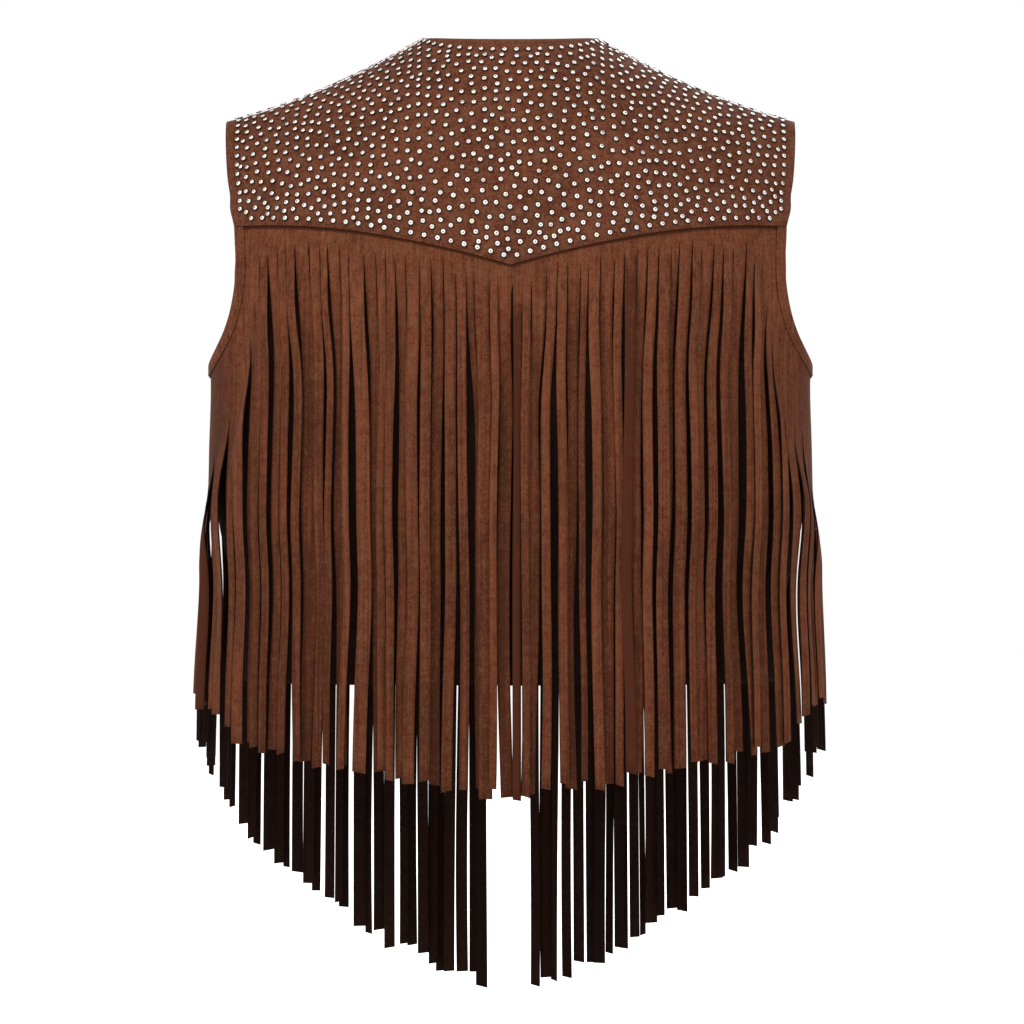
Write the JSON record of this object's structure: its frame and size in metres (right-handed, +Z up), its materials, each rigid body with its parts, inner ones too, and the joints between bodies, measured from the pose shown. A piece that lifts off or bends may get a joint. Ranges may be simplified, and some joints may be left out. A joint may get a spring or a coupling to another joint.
{
  "type": "western vest",
  "caption": "Sleeveless open-front suede vest with studded yokes over the shoulders and long cut fringe hanging all round from the yoke seams.",
  "frame": {"origin": "midway between the undersides of the two shoulders, where the wearer's shoulders hold the vest up", "axes": "+Z up the standing wearer, +Y out of the back of the vest, +X towards the wearer's left"},
  "size_m": [0.4304, 0.2423, 0.6461],
  "materials": {
    "suede_yoke": "brown suede, napped, matt",
    "suede_body": "brown suede, napped, matt",
    "suede_fringe": "brown suede, napped on the face and darker on the flesh side",
    "stones": "small faceted clear stones with a bright foil back",
    "thread": "twisted polyester topstitching thread"
  },
  "bodies": {
    "root": {"back_yoke": "suede_yoke", "front_yoke_left": "suede_yoke", "front_yoke_right": "suede_yoke", "back_body": "suede_body", "front_body_left": "suede_body", "front_body_right": "suede_body", "back_fringe": "suede_fringe", "front_fringe_left": "suede_fringe", "front_fringe_right": "suede_fringe"}
  },
  "joints": []
}
